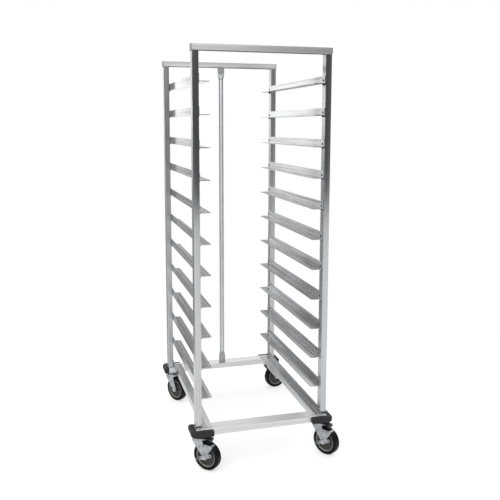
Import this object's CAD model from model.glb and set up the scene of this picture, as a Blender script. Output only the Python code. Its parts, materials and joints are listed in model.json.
"""Looks of the sheet pan rack: materials, finishing pieces, floor, light and camera, in metres."""

import json
import math

import bmesh
import bpy
from mathutils import Matrix, Quaternion, Vector


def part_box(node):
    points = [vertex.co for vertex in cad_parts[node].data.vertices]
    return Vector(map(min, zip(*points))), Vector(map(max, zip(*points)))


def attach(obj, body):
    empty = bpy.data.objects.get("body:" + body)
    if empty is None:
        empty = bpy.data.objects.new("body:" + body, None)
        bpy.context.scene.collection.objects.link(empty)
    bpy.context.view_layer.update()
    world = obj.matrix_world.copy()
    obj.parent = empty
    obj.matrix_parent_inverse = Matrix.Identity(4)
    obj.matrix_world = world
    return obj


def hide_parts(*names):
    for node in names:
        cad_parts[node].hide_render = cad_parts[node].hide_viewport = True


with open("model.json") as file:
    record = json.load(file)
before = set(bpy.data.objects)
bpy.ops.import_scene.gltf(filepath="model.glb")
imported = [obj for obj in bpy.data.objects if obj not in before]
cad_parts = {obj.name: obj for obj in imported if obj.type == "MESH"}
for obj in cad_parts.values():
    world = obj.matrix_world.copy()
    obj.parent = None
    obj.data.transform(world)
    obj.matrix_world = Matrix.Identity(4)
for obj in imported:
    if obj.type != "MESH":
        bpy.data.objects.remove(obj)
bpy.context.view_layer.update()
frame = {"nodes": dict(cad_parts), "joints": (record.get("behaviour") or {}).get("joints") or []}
nodes = frame["nodes"]

# Middle of the tube frame, seen from the origin
MID = Vector((-0.027, 0.017, 0))

# Camera: place seen from the middle of the frame, turn in degrees, focal length, film and shift
CAMERA_AT = Vector((-0.7623, -2.9210, 1.3988))
CAMERA_YAW = 15.53
CAMERA_PITCH = -8.01
CAMERA_ROLL = 0.08
FOCAL_PIXELS = 665.1
FRAME_PIXELS = 500
SENSOR = 36
SHIFT_X = 0.001
SHIFT_Y = -0.060

# Floor: corners, base colour and its own light
FLOOR_CORNERS = [(-9, -8.5, 0), (9, -8.5, 0), (9, 0.9, 0), (-9, 0.9, 0)]
FLOOR_GREY = 0.52
FLOOR_GLOW = 0.52

# Brightness of the studio on each side of the object, by height from -1 to 1
ROOM_FRONT = [(-0.3, 0.9), (-0.13, 0.13), (0.2, 0.13), (0.3, 2.1), (0.7, 2.1), (1, 0.8)]
ROOM_FRONT_RIGHT = [(-0.3, 0.9), (-0.13, 0.13), (0.2, 0.12), (0.35, 0.2), (0.7, 0.55), (1, 0.8)]
ROOM_BACK_RIGHT = [
    (-0.35, 0.4), (-0.12, 0.45), (-0.07, 1.9), (-0.01, 1.9), (0.03, 0.65), (0.1, 0.65),
    (0.38, 0.42), (0.45, 1.8), (1, 0.8),
]
ROOM_BACK_FAR_RIGHT = [(-0.35, 0.4), (0.1, 0.65), (0.33, 0.45), (0.4, 1.9), (1, 0.8)]
ROOM_STRIP = [(-0.4, 0.25), (-0.2, 0.5), (-0.1, 0.65), (-0.03, 1.2), (0.03, 3.0), (0.5, 3.0), (1, 0.8)]
ROOM_BACK_NEAR_LEFT = [(-0.4, 0.2), (-0.1, 0.12), (0.14, 0.15), (0.24, 2.0), (0.55, 2.0), (1, 0.8)]
ROOM_BACK_LEFT = [
    (-0.3, 0.45), (-0.1, 0.85), (-0.03, 1.4), (0.02, 2.7), (0.08, 2.4), (0.17, 0.38), (0.4, 0.42),
    (1, 0.8),
]
ROOM_FAR_LEFT = [(-0.4, 0.3), (-0.1, 0.1), (0.2, 0.12), (0.5, 0.9), (1, 0.8)]

# Where one brightness profile gives way to the next, along one direction of the studio
TO_FRONT_RIGHT = (0.25, 0.35)
TO_FAR_RIGHT = (0.2, 0.27)
TO_FAR_LEFT = (-0.42, -0.55)
PAST_NEAR_LEFT = (-0.23, -0.29)
PAST_STRIP = (-0.168, -0.177)
TO_LEFT = (-0.09, -0.12)
TO_FRONT = (0.15, -0.25)

# Soft lights: place, point aimed at, width, length and power
SOFTBOXES = {
    "overhead": ((0, 0, 4.2), (0, 0, 0), 5.0, 5.0, 50),
    "front_left": ((-1.6, -3.4, 3.4), (0, 0, 1.0), 1.6, 1.2, 20),
}

# Drawn metal: scale of its grain across and along, with its detail, from fine streaks to clouds
METAL_GRAIN = ((1200.0, 9.0, 3), (110.0, 1.5, 3), (5.0, 1.6, 4))

# Upward part of a surface's direction where an underside begins, and where it is complete
TURNED_DOWN = (-0.5, -0.9)

# Depth of the bump in every material, in metres
BUMP_DEPTH = 0.0002

CORNERS = ("front_left", "front_right", "rear_left", "rear_right")

# Millimetre in the script's metres
MM = 0.001

# Smoothness of turned shapes, in steps to a full turn
FINE_TURN = 96
STOP_TURN = 64
SMALL_TURN = 32

# Angle between faces, in degrees, from which their edge stays sharp
SHARP_ANGLE = 32

# Points nearer to each other than this become one
PLATE_MERGE = 0.01 * MM
POINT_MERGE = 0.001 * MM

# Tubes, slides and rivets
TUBE_CORNER = 2.2 * MM
SLIDE_T = 2.5 * MM
RIVET_UP = 13.5 * MM
SLIDE_EDGE = 0.5 * MM
BEVEL_FROM = 40
SLIDE_ROWS = 12

# Weld beads: radius, ripple, length of one ripple and how far an open end narrows
BEAD_R = 1.5 * MM
BEAD_RIPPLE = 0.3 * MM
BEAD_STEP = 1.5 * MM
BEAD_END = 0.4
TACK_L = 28 * MM
TACK_R = 3.5 * MM
TACK_STEPS = 8

# Stop bar: half sizes of its pressed tab, radius of the round tube, height of the tab, share of that
# height at which the tab has one more ring of points, and height of the taper
TAB_HALF_W = 16.4 * MM
TAB_HALF_T = 2.0 * MM
STOP_R = 11.2 * MM
TAB_H = 30 * MM
TAB_SHARE = 0.6
TAPER_H = 30 * MM

# Plugs in the ends of the top crossbars
PLUG_T = 2.6 * MM

# Bumpers
BUMPER_T = 23 * MM
BUMPER_R = 9 * MM
BUMPER_END = 5 * MM

# Casters: mounting plate, bolts, ball race, fork, axle and brake lever
PLATE_W = 76 * MM
PLATE_D = 60 * MM
PLATE_T = 3 * MM
PLATE_CORNER = 8 * MM
PLATE_EDGE = 0.5 * MM
BOLT_DX = 30 * MM
BOLT_DY = 22 * MM
BOLT_HEX_R = 6.6 * MM
BOLT_HEX_H = 4 * MM
RACE_DROP = 10 * MM
CROWN_T = 3 * MM
CROWN_EDGE = 0.6 * MM
CROWN_R = 32 * MM
CROWN_FRONT = 40 * MM
CROWN_BACK = 26 * MM
LEG_FRONT = 20 * MM
LEG_INSET = 3 * MM
LEG_FRONT_R = 7 * MM
LEG_BACK_R = 8 * MM
LEG_HEEL_R = 4 * MM
FORK_GAP = 36.6 * MM
FORK_T = 2.6 * MM
AXLE_R = 5 * MM
BOSS_R = 12 * MM
LEVER_T = 3 * MM
LEVER_GAP = 0.4 * MM
LEVER_TILT = 24

# Brake's foot tab, arm and shoe; the pivot is in millimetres from the axle
FOOT_W = 15 * MM
FOOT_D = 13.2 * MM
FOOT_CORNER = 3 * MM
FOOT_T = 2.6 * MM
ARM_TURN = 58
ARM_PIVOT = (38, 29)
ARM_T = 2.4 * MM
ARM_EDGE = 0.4 * MM
SHOE_W = 30 * MM
SHOE_D = 8 * MM
SHOE_CORNER = 1.5 * MM
SHOE_T = 2 * MM

# Chamfer of every hex as a share of its radius, then the axle's hex ends and washers
HEX_CHAMFER = 0.14
HEX_R = 9.2 * MM
HEX_H = 6.4 * MM
WASHER_R = 10.4 * MM
WASHER_T = 1.1 * MM
NUT_TURN = 0.3


def add_camera():
    """Camera at the photograph's viewing angle."""
    data = bpy.data.cameras.new("camera")
    data.sensor_width = SENSOR
    data.lens = FOCAL_PIXELS / FRAME_PIXELS * SENSOR
    data.shift_x = SHIFT_X
    data.shift_y = SHIFT_Y
    camera = bpy.data.objects.new("camera", data)
    bpy.context.scene.collection.objects.link(camera)
    yaw = math.radians(CAMERA_YAW)
    pitch = math.radians(CAMERA_PITCH)
    look = Vector((
        math.sin(yaw) * math.cos(pitch),
        math.cos(yaw) * math.cos(pitch),
        math.sin(pitch),
    ))
    camera.rotation_mode = "QUATERNION"
    roll = Quaternion((0, 0, 1), math.radians(CAMERA_ROLL))
    camera.rotation_quaternion = look.to_track_quat("-Z", "Y") @ roll
    camera.location = CAMERA_AT + MID
    bpy.context.scene.camera = camera


class Nodes:
    """Small helper that builds a material's node tree."""

    def __init__(self, tree):
        self.tree = tree

    def add(self, kind, **values):
        node = self.tree.nodes.new(kind)
        for name, value in values.items():
            if name in node.inputs:
                node.inputs[name].default_value = value
            else:
                setattr(node, name, value)
        return node

    def link(self, source, output, target, socket):
        self.tree.links.new(source.outputs[output], target.inputs[socket])


def new_material(name):
    """An empty Principled material and its helper."""
    material = bpy.data.materials.new(name)
    material.use_nodes = True
    shader = material.node_tree.nodes["Principled BSDF"]
    return material, Nodes(material.node_tree), shader


def brushed_metal(name, axis, colour, rough, aniso, streak=0.2, underside=0.0,
                  spread_turn=0.0, ripple=0.06):
    """Metal drawn along one axis: fine streaks along it and a highlight spread across it."""
    material, n, shader = new_material(name)
    shader.inputs["Metallic"].default_value = 1
    shader.inputs["Anisotropic"].default_value = aniso
    shader.inputs["Anisotropic Rotation"].default_value = spread_turn
    place = n.add("ShaderNodeTexCoord")
    noises = []
    for across, lengthways, detail in METAL_GRAIN:
        scale = [across, across, across]
        scale["XYZ".index(axis)] = lengthways
        stretch = n.add("ShaderNodeMapping")
        stretch.inputs["Scale"].default_value = scale
        noise = n.add("ShaderNodeTexNoise", Scale=1.0, Detail=detail, Roughness=0.6)
        n.link(place, "Object", stretch, "Vector")
        n.link(stretch, "Vector", noise, "Vector")
        noises.append(noise)
    tone = n.add("ShaderNodeValToRGB")
    low, high = tone.color_ramp.elements
    low.position, high.position = 0.38, 0.62
    low.color = [c * (1 - streak) for c in colour] + [1]
    high.color = [c * (1 + 0.6 * streak) for c in colour] + [1]
    both = n.add("ShaderNodeMath", operation="MULTIPLY_ADD")
    both.inputs[1].default_value = 0.75
    half = n.add("ShaderNodeMath", operation="MULTIPLY")
    half.inputs[1].default_value = 0.25
    n.link(noises[2], "Fac", half, 0)
    n.link(noises[1], "Fac", both, 0)
    n.link(half, 0, both, 2)
    n.link(both, 0, tone, "Fac")
    if underside:
        facing_down = n.add("ShaderNodeSeparateXYZ")
        n.link(place, "Normal", facing_down, "Vector")
        below = band(n, facing_down, "Z", *TURNED_DOWN)
        dull = n.add("ShaderNodeMixRGB")
        dull.inputs["Color2"].default_value = [c * underside for c in colour] + [1]
        n.link(below, "Result", dull, "Fac")
        n.link(tone, "Color", dull, "Color1")
        n.link(dull, "Color", shader, "Base Color")
    else:
        n.link(tone, "Color", shader, "Base Color")
    gloss = n.add("ShaderNodeMapRange")
    gloss.inputs["From Min"].default_value = 0.3
    gloss.inputs["From Max"].default_value = 0.7
    gloss.inputs["To Min"].default_value = rough - 0.05
    gloss.inputs["To Max"].default_value = rough + 0.07
    n.link(both, 0, gloss, "Value")
    n.link(gloss, "Result", shader, "Roughness")
    bump = n.add("ShaderNodeBump", Strength=ripple, Distance=BUMP_DEPTH)
    n.link(noises[0], "Fac", bump, "Height")
    n.link(bump, "Normal", shader, "Normal")
    turn = n.add("ShaderNodeTangent", direction_type="RADIAL", axis=axis)
    n.link(turn, "Tangent", shader, "Tangent")
    return material


def plain(name, colour, rough, metallic=0.0, grain=400.0, bump_strength=0.1, sheen=0.5,
          mottle=0.2, patch=14.0):
    """Material with a fine random grain in its colour, roughness and surface."""
    material, n, shader = new_material(name)
    shader.inputs["Metallic"].default_value = metallic
    shader.inputs["Specular IOR Level"].default_value = sheen
    place = n.add("ShaderNodeTexCoord")
    noise = n.add("ShaderNodeTexNoise", Scale=grain, Detail=4, Roughness=0.6)
    cloud = n.add("ShaderNodeTexNoise", Scale=patch, Detail=4, Roughness=0.6)
    n.link(place, "Object", noise, "Vector")
    n.link(place, "Object", cloud, "Vector")
    tone = n.add("ShaderNodeValToRGB")
    low, high = tone.color_ramp.elements
    low.position, high.position = 0.3, 0.7
    low.color = [c * (1 - mottle) for c in colour] + [1]
    high.color = list(colour) + [1]
    n.link(cloud, "Fac", tone, "Fac")
    n.link(tone, "Color", shader, "Base Color")
    gloss = n.add("ShaderNodeMapRange")
    gloss.inputs["To Min"].default_value = rough - 0.06
    gloss.inputs["To Max"].default_value = rough + 0.08
    n.link(cloud, "Fac", gloss, "Value")
    n.link(gloss, "Result", shader, "Roughness")
    bump = n.add("ShaderNodeBump", Strength=bump_strength, Distance=BUMP_DEPTH)
    n.link(noise, "Fac", bump, "Height")
    n.link(bump, "Normal", shader, "Normal")
    return material


def paint(node, material):
    """Gives a CAD node its material."""
    data = nodes[node].data
    data.materials.clear()
    data.materials.append(material)


def make_materials():
    """Every finish of the rack, by name."""
    return {
        "tube_x": brushed_metal("aluminium_along_x", "X", (0.60, 0.61, 0.62), 0.32, 0.9, 0.16, 0.3),
        "base_x": brushed_metal("aluminium_base_x", "X", (0.66, 0.67, 0.68), 0.46, 0.4, 0.16, 0.3),
        "tube_z": brushed_metal("aluminium_along_z", "Z", (0.47, 0.48, 0.49), 0.22, 0.9, 0.12),
        "rear_z": brushed_metal("aluminium_dull_z", "Z", (0.50, 0.51, 0.52), 0.30, 0.2, 0.12),
        "polished": brushed_metal(
            "aluminium_polished", "Z", (0.66, 0.67, 0.68), 0.34, 0.95, 0.1, spread_turn=0.25,
            ripple=0.01,
        ),
        "pressed": brushed_metal("aluminium_pressed", "Z", (0.40, 0.41, 0.42), 0.5, 0.3),
        "slide_y": brushed_metal("aluminium_along_y", "Y", (0.46, 0.47, 0.48), 0.23, 0.9, 0.4),
        "rubber": plain("bumper_rubber", (0.024, 0.024, 0.027), 0.55, bump_strength=0.3, sheen=0.16),
        "zinc": plain("zinc_plate", (0.46, 0.48, 0.51), 0.34, 1.0, mottle=0.5, patch=60.0),
        "fastener": plain("fastener_zinc", (0.50, 0.51, 0.52), 0.30, 1.0),
        "plug": plain("plug_metal", (0.42, 0.43, 0.44), 0.4, 1.0),
        "tyre": plain("tyre_rubber", (0.005, 0.005, 0.005), 0.34, bump_strength=0.15, sheen=0.1),
        "core": plain("wheel_plastic", (0.045, 0.046, 0.040), 0.42, bump_strength=0.15, sheen=0.25),
        "rim": plain("wheel_rim", (0.20, 0.20, 0.18), 0.38, bump_strength=0.15, sheen=0.4),
        "rivet": plain("rivet_metal", (0.62, 0.62, 0.63), 0.3, 1.0),
        "dark": plain("dark_steel", (0.006, 0.006, 0.007), 0.8, sheen=0.0),
        "black": plain("black_steel", (0.02, 0.02, 0.022), 0.45, 0.3),
        "weld": plain("weld_bead", (0.34, 0.34, 0.35), 0.38, 1.0, 900.0),
        "tack": plain("tack_weld", (0.015, 0.015, 0.016), 0.7, 0.0, 900.0, sheen=0.0),
    }


def paint_nodes(looks):
    """Materials of the CAD nodes that stay in view."""
    for name in nodes:
        if name.startswith("rear") and name.endswith("_upright"):
            paint(name, looks["rear_z"])
        elif name.endswith("_upright"):
            paint(name, looks["tube_z"])
        elif name.endswith("_base_crossbar"):
            paint(name, looks["base_x"])
        elif name.endswith("_crossbar"):
            paint(name, looks["tube_x"])
        elif "_slide_" in name:
            paint(name, looks["slide_y"])


def skin(bm, rings, loop=False):
    """Joins closed rings of points into a skin, round in a loop or with both ends closed."""
    rows = [[bm.verts.new(point) for point in ring] for ring in rings]
    count = len(rows[0])
    pairs = list(zip(rows, rows[1:]))
    if loop:
        pairs.append((rows[-1], rows[0]))
    else:
        bm.faces.new(rows[0])
        bm.faces.new(rows[-1])
    for first, second in pairs:
        for k in range(count):
            nxt = (k + 1) % count
            bm.faces.new((first[k], first[nxt], second[nxt], second[k]))


def turned(bm, profile, place, steps=SMALL_TURN):
    """Closed profile of (radius, height) pairs, turned about the Z axis of a place."""
    rings = []
    for k in range(steps):
        angle = 2 * math.pi * k / steps
        rings.append([
            place @ Vector((r * math.cos(angle), r * math.sin(angle), z)) for r, z in profile
        ])
    skin(bm, rings, loop=True)


def hexagon(bm, place, radius, height, start=0.0):
    """Hex head along Z with a chamfered outer end."""
    chamfer = HEX_CHAMFER * radius
    rings = []
    for z, r in (
        (0, radius),
        (height - 0.5 * chamfer, radius),
        (height, radius - chamfer),
    ):
        corners = []
        for k in range(6):
            angle = start + math.radians(60 * k)
            corners.append(place @ Vector((r * math.cos(angle), r * math.sin(angle), z)))
        rings.append(corners)
    skin(bm, rings)


def arc(x, y, radius, start, end, steps=8):
    """Points of an arc in a plane, with angles in degrees."""
    points = []
    for k in range(steps + 1):
        angle = math.radians(start + (end - start) * k / steps)
        points.append((x + radius * math.cos(angle), y + radius * math.sin(angle)))
    return points


def rounded_outline(width, depth, radius, steps=6):
    """Rounded rectangle about the origin."""
    x = width / 2 - radius
    y = depth / 2 - radius
    return (
        arc(x, y, radius, 0, 90, steps)
        + arc(-x, y, radius, 90, 180, steps)
        + arc(-x, -y, radius, 180, 270, steps)
        + arc(x, -y, radius, 270, 360, steps)
    )


def plate(bm, outlines, thickness, edge, place):
    """Flat plate with rounded edges about Z = 0; outlines after the first are holes."""
    curve = bpy.data.curves.new("plate", "CURVE")
    curve.dimensions = "2D"
    curve.fill_mode = "BOTH"
    curve.extrude = thickness / 2 - edge
    curve.bevel_depth = edge
    curve.bevel_resolution = 2
    for outline in outlines:
        spline = curve.splines.new("POLY")
        spline.points.add(len(outline) - 1)
        for point, (x, y) in zip(spline.points, outline):
            point.co = (x, y, 0, 1)
        spline.use_cyclic_u = True
    holder = bpy.data.objects.new("plate", curve)
    mesh = bpy.data.meshes.new_from_object(holder)
    mesh.transform(place)
    part = bmesh.new()
    part.from_mesh(mesh)
    bmesh.ops.remove_doubles(part, verts=part.verts, dist=PLATE_MERGE)
    part.to_mesh(mesh)
    part.free()
    bm.from_mesh(mesh)
    bpy.data.meshes.remove(mesh)
    bpy.data.objects.remove(holder)
    bpy.data.curves.remove(curve)


def bead(bm, points, radius, closed):
    """Weld bead with a rippled surface along a line of points."""
    rings = []
    count = len(points)
    for k, point in enumerate(points):
        before = points[(k - 1) % count] if closed or k > 0 else point
        after = points[(k + 1) % count] if closed or k < count - 1 else point
        turn = (after - before).to_track_quat("Z", "Y").to_matrix()
        r = radius + BEAD_RIPPLE * (1 if k % 2 else -1)
        if not closed and k in (0, count - 1):
            r *= BEAD_END
        rings.append([point + turn @ Vector((x, y, 0)) for x, y in arc(0, 0, r, 0, 315, 7)])
    skin(bm, rings, loop=closed)


def piece(name, bm, material, body, slot_name, *stands_for):
    """Turns built geometry into a piece of the model that rides on a body."""
    bmesh.ops.remove_doubles(bm, verts=bm.verts, dist=POINT_MERGE)
    bmesh.ops.recalc_face_normals(bm, faces=bm.faces)
    data = bpy.data.meshes.new(name)
    bm.to_mesh(data)
    bm.free()
    data.shade_smooth()
    data.set_sharp_from_angle(angle=math.radians(SHARP_ANGLE))
    data.materials.append(material)
    shape = bpy.data.objects.new(name, data)
    bpy.context.scene.collection.objects.link(shape)
    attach(shape, body)
    if stands_for:
        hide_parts(*stands_for)
    return shape


def size_of(node):
    """Middle and size of a CAD node's box."""
    low, high = (Vector(corner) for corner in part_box(node))
    return (low + high) / 2, high - low


def joint_place(name):
    """Point that a joint turns about."""
    return next(Vector(j["pos_m"]) for j in frame["joints"] if j["name"] == name)


def caster_place(corner):
    """Place under a kingpin on the floor, X along the trail and Z up."""
    king = joint_place(corner + "_swivel_turn")
    hub = joint_place(corner + "_wheel_roll")
    trail = hub - king
    trail.z = 0
    trail.normalize()
    up = Vector((0, 0, 1))
    place = Matrix((trail, up.cross(trail), up)).transposed().to_4x4()
    place.translation = (king.x, king.y, 0)
    return place


def wheel_place(corner):
    """Place in the middle of a wheel, X along the trail and Z along the axle, outwards."""
    turn = caster_place(corner).to_3x3().to_4x4() @ Matrix.Rotation(math.radians(90), 4, "X")
    turn.translation = joint_place(corner + "_wheel_roll")
    return turn


def facing(point, direction):
    """Place at a point with Z in a direction."""
    place = Vector(direction).to_track_quat("Z", "Y").to_matrix().to_4x4()
    place.translation = point
    return place


def rivet_places():
    """Where each rivet head sits on a slide's leg, with Z out of the head."""
    places = []
    for side, sign in (("left", 1), ("right", -1)):
        for n in range(1, SLIDE_ROWS + 1):
            middle, size = size_of(f"{side}_slide_{n:02d}")
            x = middle.x - sign * (size.x / 2 - SLIDE_T)
            z = middle.z - size.z / 2 + RIVET_UP
            for end in ("front", "rear"):
                y = size_of(f"{end}_{side}_upright")[0].y
                places.append(facing((x, y, z), (sign, 0, 0)))
    return places


def add_rivets(metal, dark):
    """Blind rivets: a flanged head round the dark, domed end of the pulled stem."""
    head = [(5.0, 0.0), (6.7, 0.0), (7.0, 0.4), (6.6, 0.9), (5.6, 1.1), (5.0, 0.9)]
    stem = [(0.0, 0.0), (5.0, 0.0), (5.0, 1.0), (4.6, 1.7), (3.4, 2.1), (0.0, 2.2)]
    heads = bmesh.new()
    stems = bmesh.new()
    for place in rivet_places():
        turned(heads, [(r * MM, z * MM) for r, z in head], place, 20)
        turned(stems, [(r * MM, z * MM) for r, z in stem], place, 16)
    piece("rivet_heads", heads, metal, "root", "rivet", "rivets")
    piece("rivet_stems", stems, dark, "root", "rivet")


def add_tack_welds(metal):
    """Short bead under each slide where it meets an upright."""
    bm = bmesh.new()
    for place in rivet_places():
        middle = place.translation.copy()
        inward = place.to_3x3() @ Vector((0, 0, 1))
        middle -= inward * SLIDE_T
        middle.z -= RIVET_UP + 0.4 * TACK_R
        points = [
            middle + Vector((0, (k / TACK_STEPS - 0.5) * TACK_L, 0)) for k in range(TACK_STEPS + 1)
        ]
        bead(bm, points, TACK_R, False)
    piece("slide_tack_welds", bm, metal, "root", "tube")


def add_frame_welds(metal):
    """Bead round the foot and the head of each upright."""
    bm = bmesh.new()
    for corner in CORNERS:
        middle, size = size_of(corner + "_upright")
        edge = rounded_outline(size.x, size.y, TUBE_CORNER, 3)
        for z in (middle.z - size.z / 2, middle.z + size.z / 2):
            line = [Vector((middle.x + x, middle.y + y, z)) for x, y in edge]
            bead(bm, evenly(line, BEAD_STEP), BEAD_R, True)
    piece("frame_weld_beads", bm, metal, "root", "tube")


def evenly(line, step):
    """Closed line divided into nearly equal steps."""
    spans = list(zip(line, line[1:] + line[:1]))
    total = sum((b - a).length for a, b in spans)
    count = 2 * round(total / step / 2)
    points = []
    travelled = 0.0
    for a, b in spans:
        length = (b - a).length
        while len(points) < count and len(points) * total / count <= travelled + length:
            share = (len(points) * total / count - travelled) / max(length, 1e-9)
            points.append(a.lerp(b, share))
        travelled += length
    return points


def add_stop_bar(metal, pressed, fastener):
    """Round tube whose ends are pressed into flat tabs, each held by a rivet."""
    middle, size = size_of("rear_stop_bar")
    bottom = middle.z - size.z / 2
    ease = [k / 10 for k in range(11)]
    stations = [(0, 1.0), (TAB_SHARE * TAB_H, 1.0)]
    stations += [(TAB_H + t * TAPER_H, 1 - t * t * (3 - 2 * t)) for t in ease]
    height = size.z
    tube = [height * k / 24 for k in range(2, 23)]
    stations += [(z, 0.0) for z in tube if TAB_H + TAPER_H < z < height - TAB_H - TAPER_H]
    stations += [(height - TAB_H - (1 - t) * TAPER_H, t * t * (3 - 2 * t)) for t in ease]
    stations += [(height - TAB_SHARE * TAB_H, 1.0), (height, 1.0)]
    rings = []
    for z, flat in stations:
        half_w = STOP_R + (TAB_HALF_W - STOP_R) * flat
        half_t = STOP_R + (TAB_HALF_T - STOP_R) * flat
        power = 1 - 0.7 * flat
        ring = []
        for k in range(STOP_TURN):
            angle = 2 * math.pi * k / STOP_TURN
            c = math.cos(angle)
            s = math.sin(angle)
            ring.append(Vector((
                middle.x + half_w * math.copysign(abs(c) ** power, c),
                middle.y + half_t * math.copysign(abs(s) ** power, s),
                bottom + z,
            )))
        rings.append(ring)
    bm = bmesh.new()
    skin(bm, rings)
    tube = piece("stop_bar_tube", bm, metal, "root", "stop_bar", "rear_stop_bar")
    tube.data.materials.append(pressed)
    reach = height / 2 - TAB_H - TAPER_H
    for face in tube.data.polygons:
        face.material_index = int(abs(face.center.z - middle.z) > reach)
    rivets = bmesh.new()
    head = [(0, 0), (5.2, 0), (5.4, 0.6), (4.6, 1.6), (2.6, 2.3), (0, 2.5)]
    for z in (bottom + 0.5 * TAB_H, bottom + height - 0.5 * TAB_H):
        spot = (middle.x, middle.y - TAB_HALF_T, z)
        turned(rivets, [(r * MM, h * MM) for r, h in head], facing(spot, (0, -1, 0)), 24)
    piece("stop_bar_rivets", rivets, fastener, "root", "fastener")


def add_end_plugs(material):
    """Pressed plugs in the ends of the top crossbars, dished in the middle."""
    bm = bmesh.new()
    for end in ("front", "rear"):
        middle, size = size_of(end + "_top_crossbar")
        for sign in (-1, 1):
            face = middle + Vector((sign * size.x / 2, 0, 0))
            place = Matrix.Translation(face) @ Matrix.Rotation(math.radians(sign * 90), 4, "Y")
            rings = []
            for lift, inset in ((0, 0), (0.65, 0), (0.9, 0.3), (1, 1.1), (0.9, 3.5), (0.45, 4.5)):
                outline = rounded_outline(
                    size.z - 2 * inset * MM, size.y - 2 * inset * MM, TUBE_CORNER
                )
                rings.append([place @ Vector((x, y, lift * PLUG_T)) for x, y in outline])
            skin(bm, rings)
    piece("end_plugs", bm, material, "root", "end_cap", "end_caps")


def add_bumper(corner, rubber):
    """Rubber corner bumper with rounded outer face and ends."""
    middle, size = size_of(corner + "_bumper")
    out_x = -1 if "left" in corner else 1
    out_y = -1 if "front" in corner else 1
    edge = Vector((
        middle.x + out_x * (size.x / 2 - BUMPER_T),
        middle.y + out_y * (size.y / 2 - BUMPER_T),
        middle.z - size.z / 2,
    ))
    flat = BUMPER_T - BUMPER_R
    section = [(0, 0)] + arc(flat, BUMPER_R, BUMPER_R, -90, 0)
    section += arc(flat, size.z - BUMPER_R, BUMPER_R, 0, 90) + [(0, size.z)]
    leg = size.x - BUMPER_T
    ends = [0, 0.08, 0.25, 0.5, 0.75, 1.0]
    run = [BUMPER_END * t for t in ends]
    run += [BUMPER_END + (leg - BUMPER_END) * k / 6 for k in range(1, 7)]
    rings = []

    def ring(distance, place_of):
        left = max(0.0, 1 - distance / BUMPER_END)
        shrink = math.sqrt(1 - (0.6 * left) ** 2)
        points = []
        for u, v in section:
            lift = size.z / 2 + (v - size.z / 2) * shrink
            points.append(place_of(u * shrink, lift))
        rings.append(points)

    for distance in run:
        ring(distance, lambda u, v, d=distance: edge + Vector((-out_x * (leg - d), out_y * u, v)))
    for k in range(1, 12):
        angle = math.radians(90 * k / 12)
        turn = (out_x * math.sin(angle), out_y * math.cos(angle))
        ring(leg, lambda u, v, t=turn: edge + Vector((t[0] * u, t[1] * u, v)))
    for distance in reversed(run):
        ring(distance, lambda u, v, d=distance: edge + Vector((out_x * u, -out_y * (leg - d), v)))
    bm = bmesh.new()
    skin(bm, rings)
    piece(corner + "_bumper_rubber", bm, rubber, "root", "bumper", corner + "_bumper")


def add_caster_mounts(zinc, fastener):
    """Caster plates with their ball races, kingpin heads and bolts."""
    plates = bmesh.new()
    kings = bmesh.new()
    bolts = bmesh.new()
    race = [
        (6.2, 10.0), (29.0, 10.0), (29.0, 7.6), (28.4, 6.9), (26.4, 6.4), (26.0, 5.4),
        (26.6, 4.6), (28.2, 4.2), (28.6, 3.2), (28.0, 1.0), (27.0, 0.1), (6.2, 0.1),
    ]
    king = [(0, 0), (6, 0), (9.6, 0.5), (11, 1.8), (11, 5), (6, 5.2), (6, 18.8), (0, 18.8)]
    flange = [(0, 0), (7.8, 0), (7.6, 0.9), (0, 0.9)]
    for corner in CORNERS:
        under = size_of("caster_plates")[0].z + size_of("caster_plates")[1].z / 2 - PLATE_T
        place = caster_place(corner)
        spot = place.translation.copy()
        spot.z = under + PLATE_T / 2
        plate(
            plates, [rounded_outline(PLATE_W, PLATE_D, PLATE_CORNER)], PLATE_T, PLATE_EDGE,
            Matrix.Translation(spot),
        )
        spot.z = under + PLATE_T - RACE_DROP
        turned(
            plates, [(r * MM, (z - PLATE_T / MM) * MM) for r, z in race],
            Matrix.Translation(spot + Vector((0, 0, PLATE_T))), 64,
        )
        spot.z = size_of("kingpins")[0].z - size_of("kingpins")[1].z / 2
        turned(kings, [(r * MM, z * MM) for r, z in king], Matrix.Translation(spot))
        for dx in (-BOLT_DX, BOLT_DX):
            for dy in (-BOLT_DY, BOLT_DY):
                base = Vector((spot.x + dx, spot.y + dy, under))
                down = facing(base, (0, 0, -1))
                turned(bolts, [(r * MM, z * MM) for r, z in flange], down, 24)
                hexagon(bolts, down, BOLT_HEX_R, BOLT_HEX_H)
    piece("caster_top_plates", plates, zinc, "root", "caster_steel", "caster_plates")
    piece("kingpin_heads", kings, fastener, "root", "fastener", "kingpins")
    piece("caster_hex_bolts", bolts, fastener, "root", "fastener", "plate_bolts")


def fork_outlines(trail, wheel_r, crown):
    """Side view of a fork leg about the axle: rounded edge and axle hole."""
    top = crown - wheel_r
    back = -CROWN_BACK - trail
    neck = LEG_FRONT - trail - LEG_INSET
    edge = [(back + LEG_INSET, top), (neck, top)]
    edge += arc(neck, top - LEG_FRONT_R, LEG_FRONT_R, 70, -10, 6)
    edge += arc(0, 0, BOSS_R, 20, -180, 24)
    edge += [(-BOSS_R, -MM)]
    edge += arc(back + 10 * MM, top - 14 * MM, LEG_BACK_R, 215, 180, 5)
    edge += arc(back + LEG_HEEL_R, top - LEG_HEEL_R, LEG_HEEL_R, 180, 100, 5)
    axle = arc(0, 0, AXLE_R, 0, 345, 23)
    return [edge, axle]


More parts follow.
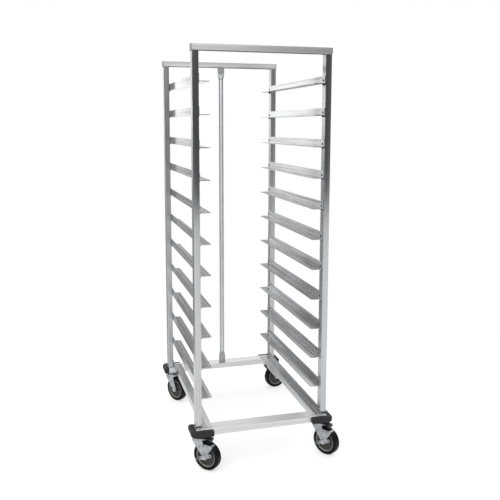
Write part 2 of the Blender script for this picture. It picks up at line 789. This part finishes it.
def add_fork(corner, zinc, black):
    """Pressed fork: crown, two legs with pressed bosses, and the brake bracket."""
    middle, size = size_of(corner + "_fork")
    crown = middle.z + size.z / 2
    hub = joint_place(corner + "_wheel_roll")
    king = joint_place(corner + "_swivel_turn")
    trail = (hub - king).xy.length
    wheel = wheel_place(corner)
    caster = caster_place(corner)
    bm = bmesh.new()
    leg_out = FORK_GAP / 2 + FORK_T
    crown_edge = []
    for degrees in range(0, 360, 5):
        angle = math.radians(degrees)
        c = math.cos(angle)
        s = math.sin(angle)
        reach_x = (CROWN_FRONT if c > 0 else CROWN_BACK) / max(abs(c), 1e-6)
        reach = max(CROWN_R, min(reach_x, leg_out / max(abs(s), 1e-6)))
        crown_edge.append((reach * c, reach * s))
    lift = Matrix.Translation((0, 0, crown - CROWN_T / 2))
    plate(bm, [crown_edge], CROWN_T, CROWN_EDGE, caster @ lift)
    outlines = fork_outlines(trail, hub.z, crown)
    for side in (-1, 1):
        out = Matrix.Translation((0, 0, side * (FORK_GAP + FORK_T) / 2))
        plate(bm, outlines, FORK_T, PLATE_EDGE, wheel @ out)
        face = wheel @ Matrix.Translation((0, 0, side * leg_out))
        turn = Matrix.Rotation(0 if side > 0 else math.pi, 4, "X")
        boss = [(AXLE_R, 0), (11 * MM, 0), (10.6 * MM, 0.35 * MM), (AXLE_R, 0.35 * MM)]
        turned(bm, boss, face @ turn, 32)
    piece(corner + "_fork_pressing", bm, zinc, corner + "_swivel", "caster_steel", corner + "_fork")
    if corner.startswith("front"):
        bracket = bmesh.new()
        side_view = [
            (0, 0), (22, 0), (22, -11), (19.2, -11), (19.2, -5), (17, -2.8), (0, -2.8),
        ]
        rings = []
        for y, shrink in ((-13, 0.96), (-12.6, 1), (12.6, 1), (13, 0.96)):
            rings.append([
                caster @ Vector((
                    CROWN_R + (6 + x * shrink) * MM, y * MM, crown + (z * shrink) * MM,
                ))
                for x, z in side_view
            ])
        skin(bracket, rings)
        piece(corner + "_brake_bracket", bracket, black, corner + "_swivel", "brake_steel")


def add_axle(corner, fastener):
    """Axle bolt with a washer and a nut outside each leg."""
    wheel = wheel_place(corner)
    leg_out = FORK_GAP / 2 + FORK_T
    lever_space = LEVER_T + 2 * LEVER_GAP if corner.startswith("front") else 0
    bm = bmesh.new()
    reach = leg_out + lever_space + HEX_H
    shank = [
        (0, -reach), (AXLE_R - 0.6 * MM, -reach), (AXLE_R - 0.05 * MM, 0.6 * MM - reach),
        (AXLE_R - 0.05 * MM, reach - 0.9 * MM), (AXLE_R - 0.9 * MM, reach), (0, reach),
    ]
    shank = [(r, max(z, -leg_out)) for r, z in shank]
    turned(bm, shank, wheel, 24)
    washer = [(AXLE_R, 0), (WASHER_R, 0), (WASHER_R, WASHER_T), (AXLE_R, WASHER_T)]
    for side in (-1, 1):
        base = leg_out + (lever_space if side > 0 else 0)
        turn = Matrix.Rotation(0 if side > 0 else math.pi, 4, "X")
        outer = wheel @ Matrix.Translation((0, 0, side * base)) @ turn
        turned(bm, washer, outer, 32)
        nut = outer @ Matrix.Translation((0, 0, WASHER_T))
        hexagon(bm, nut, HEX_R, HEX_H - 2 * WASHER_T, start=NUT_TURN)
    piece(corner + "_axle_bolt", bm, fastener, corner + "_swivel", "fastener", corner + "_axle")


def mirrored(half):
    """Closed profile from one half of it, from the inside outwards."""
    return half + [(r, -z) for r, z in reversed(half)]


def add_wheel(corner, rubber, plastic, rim, metal):
    """Tyre with a ringed side wall, moulded core with ribs, and the steel sleeve in its hub."""
    wheel = wheel_place(corner)
    body = corner + "_wheel_body"
    shoulder = [(r / MM, z / MM) for r, z in arc(54.8 * MM, 9.8 * MM, 5 * MM, 80, 4, 7)]
    tyre_half = [(45, 14.6), (46, 15), (48.4, 15), (48.9, 14.1), (50.2, 14.1), (50.7, 15)]
    tyre_half += shoulder + [(59.9, 7), (59.9, 3.2), (59.2, 2.8), (59.2, 2.2), (59.9, 1.8)]
    core_half = [
        (6.6, 18), (12.2, 18), (13, 17.2), (13.6, 7), (15.5, 5), (19.5, 4.2), (25.5, 4.2),
        (26.2, 5.6), (28, 5.6), (28.7, 4.2), (35, 4.3), (38.5, 5.6), (39.4, 7), (41, 7),
    ]
    rim_half = [(40.9, 8), (39.6, 8.4), (40.8, 12.6), (41.8, 14.2), (44.2, 14.6), (45, 13.6)]
    sleeve_half = [(5.2, 18), (6.6, 18)]
    for name, half, material, slot_name, steps, stands_for in (
        ("_tyre_tread", tyre_half, rubber, "tyre", FINE_TURN, (corner + "_tyre",)),
        ("_wheel_core", core_half, plastic, "wheel_core", FINE_TURN, (corner + "_wheel",)),
        ("_rim_ring", rim_half, rim, "wheel_core", FINE_TURN, ()),
        ("_hub_sleeve", sleeve_half, metal, "fastener", SMALL_TURN, ()),
    ):
        bm = bmesh.new()
        turned(bm, [(r * MM, z * MM) for r, z in mirrored(half)], wheel, steps)
        piece(corner + name, bm, material, body, slot_name, *stands_for)


def add_brake_lever(corner, zinc):
    """Stamped brake: slotted strap with a bent foot tab, and its arm with an eyelet and a shoe."""
    base = FORK_GAP / 2 + FORK_T + LEVER_GAP
    wheel = wheel_place(corner) @ Matrix.Translation((0, 0, base + LEVER_T / 2))
    wheel = wheel @ Matrix.Rotation(math.radians(LEVER_TILT), 4, "Z")
    half = 6.6
    eye = 11.6
    edge = arc(31, 0, half, -90, 90, 12) + arc(0, 0, eye, 35, 145, 10)
    edge += [(-37.6, half), (-37.6, -half)] + arc(0, 0, eye, 215, 325, 10)
    slot_edge = arc(33, 0, 2.4, -80, 80, 6) + arc(25, 0, 2.4, 100, 260, 6)
    axle = arc(0, 0, 5.2, 0, 345, 23)
    bm = bmesh.new()
    outlines = [[(x * MM, y * MM) for x, y in line] for line in (edge, slot_edge, axle)]
    plate(bm, outlines, LEVER_T, PLATE_EDGE, wheel)
    foot = wheel @ Matrix.Translation((-36.4 * MM, 0, 6 * MM)) @ Matrix.Rotation(
        math.radians(90), 4, "Y"
    )
    plate(bm, [rounded_outline(FOOT_W, FOOT_D, FOOT_CORNER)], FOOT_T, PLATE_EDGE, foot)
    for y in (-3.4, 0, 3.4):
        rib = foot @ Matrix.Translation((0, y * MM, -FOOT_T / 2))
        rings = []
        for x, size in ((-4, 0.2), (-3.2, 0.7), (3.2, 0.7), (4, 0.2)):
            rings.append([
                rib @ Vector((x * MM, u * MM, v * MM)) for u, v in arc(0, 0, size, 0, 300, 5)
            ])
        skin(bm, rings)
    arm = wheel @ Matrix.Rotation(math.radians(ARM_TURN - LEVER_TILT), 4, "Z")
    arm_edge = [(8, -5), (40, -5.5)] + arc(60, -3, 3.5, -90, 0, 4) + arc(60, 3, 3.5, 0, 60, 4)
    arm_edge += arc(*ARM_PIVOT, 7.5, 30, 170, 12) + [(4, 10)]
    pivot = arc(*ARM_PIVOT, 2.8, 0, 340, 17)
    outlines = [[(x * MM, y * MM) for x, y in line] for line in (arm_edge, pivot)]
    plate(bm, outlines, ARM_T, ARM_EDGE, arm)
    eyelet = [(2.9, 1.1), (6.2, 1.1), (5.6, 2.1), (3.6, 2.1)]
    turned(
        bm, [(r * MM, z * MM) for r, z in eyelet],
        arm @ Matrix.Translation((ARM_PIVOT[0] * MM, ARM_PIVOT[1] * MM, 0)), 28,
    )
    shoe = arm @ Matrix.Translation((62.6 * MM, 0, -14 * MM)) @ Matrix.Rotation(
        math.radians(90), 4, "Y"
    )
    plate(bm, [rounded_outline(SHOE_W, SHOE_D, SHOE_CORNER)], SHOE_T, ARM_EDGE, shoe)
    body = corner + "_brake"
    piece(corner + "_brake_stamping", bm, zinc, body, "brake_steel", corner + "_brake_lever")


def soften_slides():
    """Small rounding on the sheared edges of the slides."""
    for name in nodes:
        if "_slide_" in name:
            edge = nodes[name].modifiers.new("edge", "BEVEL")
            edge.width = SLIDE_EDGE
            edge.segments = 2
            edge.limit_method = "ANGLE"
            edge.angle_limit = math.radians(BEVEL_FROM)


def add_floor():
    """Plain pale floor that gives off some light, to render nearly as white as the background."""
    data = bpy.data.meshes.new("floor")
    data.from_pydata(FLOOR_CORNERS, [], [(0, 1, 2, 3)])
    floor = bpy.data.objects.new("floor", data)
    bpy.context.scene.collection.objects.link(floor)
    material, _, shader = new_material("floor_white")
    shader.inputs["Base Color"].default_value = (FLOOR_GREY, FLOOR_GREY, FLOOR_GREY, 1)
    shader.inputs["Roughness"].default_value = 0.9
    shader.inputs["Specular IOR Level"].default_value = 0.1
    shader.inputs["Emission Color"].default_value = (1, 1, 1, 1)
    shader.inputs["Emission Strength"].default_value = FLOOR_GLOW
    data.materials.append(material)


def band(n, split, axis, start, end):
    """Smooth step from 0 to 1 along one axis of a direction."""
    step = n.add("ShaderNodeMapRange", interpolation_type="SMOOTHSTEP")
    step.inputs["From Min"].default_value = start
    step.inputs["From Max"].default_value = end
    n.link(split, axis, step, "Value")
    return step


def height_ramp(n, height, stops):
    """Brightness of the studio by height: pairs of height from -1 to 1, and brightness."""
    ramp = n.add("ShaderNodeValToRGB")
    ramp.color_ramp.interpolation = "EASE"
    points = ramp.color_ramp.elements
    while len(points) < len(stops):
        points.new(0.5)
    for point, (z, light) in zip(points, stops):
        point.position = (z + 1) / 2
        point.color = (light, light, light, 1)
    n.link(height, 0, ramp, "Fac")
    return ramp


def blend(n, mask, first, second):
    """Mix of two brightness sources by a mask."""
    mix = n.add("ShaderNodeMixRGB")
    n.link(mask, "Result", mix, "Fac")
    n.link(first, "Color", mix, "Color1")
    n.link(second, "Color", mix, "Color2")
    return mix


def add_world():
    """White background for the camera, and a structured surrounding for the metal to mirror."""
    world = bpy.data.worlds.new("studio")
    world.use_nodes = True
    bpy.context.scene.world = world
    n = Nodes(world.node_tree)
    room = world.node_tree.nodes["Background"]
    place = n.add("ShaderNodeTexCoord")
    split = n.add("ShaderNodeSeparateXYZ")
    n.link(place, "Generated", split, "Vector")
    height = n.add("ShaderNodeMath", operation="MULTIPLY_ADD")
    height.inputs[1].default_value = 0.5
    height.inputs[2].default_value = 0.5
    n.link(split, "Z", height, 0)
    front_left = height_ramp(n, height, ROOM_FRONT)
    front_right = height_ramp(n, height, ROOM_FRONT_RIGHT)
    front = blend(n, band(n, split, "X", *TO_FRONT_RIGHT), front_left, front_right)
    near_right = height_ramp(n, height, ROOM_BACK_RIGHT)
    far_right = height_ramp(n, height, ROOM_BACK_FAR_RIGHT)
    right = blend(n, band(n, split, "X", *TO_FAR_RIGHT), near_right, far_right)
    strip = height_ramp(n, height, ROOM_STRIP)
    near_left = height_ramp(n, height, ROOM_BACK_NEAR_LEFT)
    left = height_ramp(n, height, ROOM_BACK_LEFT)
    far_left = height_ramp(n, height, ROOM_FAR_LEFT)
    to_left = blend(n, band(n, split, "X", *TO_FAR_LEFT), left, far_left)
    all_left = blend(n, band(n, split, "X", *PAST_NEAR_LEFT), near_left, to_left)
    with_strip = blend(n, band(n, split, "X", *PAST_STRIP), strip, all_left)
    back = blend(n, band(n, split, "X", *TO_LEFT), right, with_strip)
    whole = blend(n, band(n, split, "Y", *TO_FRONT), back, front)
    n.link(whole, "Color", room, "Color")
    white = n.add("ShaderNodeBackground")
    white.inputs["Color"].default_value = (1, 1, 1, 1)
    seen = n.add("ShaderNodeLightPath")
    choose = n.add("ShaderNodeMixShader")
    n.link(seen, "Is Camera Ray", choose, "Fac")
    n.link(room, "Background", choose, 1)
    n.link(white, "Background", choose, 2)
    n.link(choose, "Shader", world.node_tree.nodes["World Output"], "Surface")


def add_softbox(name, place, aim, width, length, power):
    """One wide soft light."""
    data = bpy.data.lights.new(name, "AREA")
    data.shape = "RECTANGLE"
    data.size = width
    data.size_y = length
    data.energy = power
    lamp = bpy.data.objects.new(name, data)
    bpy.context.scene.collection.objects.link(lamp)
    lamp.location = place
    lamp.rotation_mode = "QUATERNION"
    lamp.rotation_quaternion = (Vector(aim) - Vector(place)).to_track_quat("-Z", "Y")


def add_lights():
    """Wide soft lights overhead and in front, on the left."""
    for name, values in SOFTBOXES.items():
        add_softbox(name, *values)


def add_pieces(looks):
    """Everything that replaces or finishes a CAD node."""
    add_rivets(looks["rivet"], looks["dark"])
    add_tack_welds(looks["tack"])
    add_frame_welds(looks["weld"])
    add_stop_bar(looks["polished"], looks["pressed"], looks["fastener"])
    add_end_plugs(looks["plug"])
    add_caster_mounts(looks["zinc"], looks["fastener"])
    for corner in CORNERS:
        add_bumper(corner, looks["rubber"])
        add_fork(corner, looks["zinc"], looks["black"])
        add_axle(corner, looks["fastener"])
        add_wheel(corner, looks["tyre"], looks["core"], looks["rim"], looks["fastener"])
    for corner in CORNERS[:2]:
        add_brake_lever(corner, looks["zinc"])


add_camera()
looks = make_materials()
paint_nodes(looks)
soften_slides()
add_pieces(looks)
add_floor()
add_world()
add_lights()
bpy.context.scene.view_settings.view_transform = "Standard"
